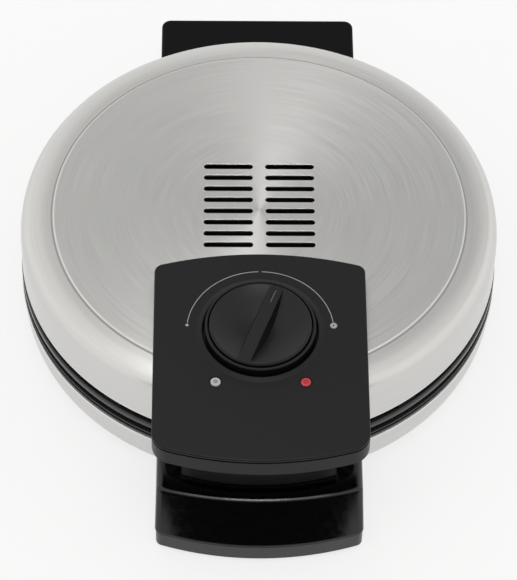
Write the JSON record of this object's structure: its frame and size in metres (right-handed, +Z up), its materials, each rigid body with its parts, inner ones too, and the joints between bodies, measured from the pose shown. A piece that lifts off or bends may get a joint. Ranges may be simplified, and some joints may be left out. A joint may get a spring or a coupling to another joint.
{
  "type": "heart waffle maker",
  "caption": "Round steel waffle maker that bakes hearts between hinged non-stick plates, with a panel handle and thermostat knob on the lid.",
  "frame": {"origin": "middle of the bounding box in plan, on the ground under the rubber pads, lid closed", "axes": "+Z up, -Y towards the front handles, +Y towards the hinge, +X to the right seen from the front"},
  "size_m": [0.227, 0.2922, 0.0854],
  "materials": {
    "steel_shell": "circular brushed",
    "floor_steel": "satin",
    "screw_steel": "zinc plated",
    "pin_steel": "ground",
    "clip_steel": "blackened",
    "plate_alloy": "non-stick coated",
    "tube_steel": "heat stained",
    "shield_alloy": "bright rolled",
    "baffle_steel": "matte",
    "black_phenolic": "satin",
    "black_gloss": "gloss",
    "knob_black": "semi-gloss",
    "pad_rubber": "matte",
    "gland_rubber": "matte",
    "block_white": "matte",
    "lens_clear": "translucent",
    "lens_red": "translucent",
    "lamp_glass": "clear",
    "thermostat_steel": "plated"
  },
  "bodies": {
    "base": {"base_shell": "steel_shell", "base_floor": "floor_steel", "floor_screws": "screw_steel", "lower_baking_plate": "plate_alloy", "lower_heating_element": "tube_steel", "lower_heat_shield": "shield_alloy", "lower_plate_screws": "screw_steel", "lower_plate_clips": "clip_steel", "handle_tray": "black_phenolic", "lower_handle": "black_gloss", "leg_screws": "screw_steel", "tray_screws": "screw_steel", "front_pads": "pad_rubber", "rear_pads": "pad_rubber", "hinge_base": "black_phenolic", "hinge_pins": "pin_steel", "rear_cover": "black_phenolic", "cord_gland": "gland_rubber", "terminal_block": "block_white"},
    "lid": {"lid_shell": "steel_shell", "vent_baffle": "baffle_steel", "upper_baking_plate": "plate_alloy", "upper_heating_element": "tube_steel", "upper_heat_shield": "shield_alloy", "upper_plate_screws": "screw_steel", "upper_plate_clips": "clip_steel", "control_panel": "black_phenolic", "panel_housing": "black_phenolic", "panel_screws": "screw_steel", "housing_screws": "screw_steel", "lens_power": "lens_clear", "lens_ready": "lens_red", "signal_lamps": "lamp_glass", "lamp_carrier": "block_white", "thermostat": "thermostat_steel", "hinge_cover": "black_phenolic", "lid_bracket": "pin_steel", "bracket_screws": "screw_steel"},
    "knob": {"knob_skirt": "knob_black", "knob_cap": "knob_black", "knob_spindle": "pin_steel"}
  },
  "joints": [
    {"name": "lid_hinge", "type": "hinge", "parent": "base", "child": "lid", "pos_m": [0, 0.13555, 0.0365], "axis": [-1, 0, 0], "range_deg": [0, 105]},
    {"name": "knob_turn", "type": "hinge", "parent": "lid", "child": "knob", "pos_m": [0, -0.07225, 0.07971], "axis": [0, -0.0175, 0.9998], "range_deg": [-62.9, 103.9]}
  ]
}
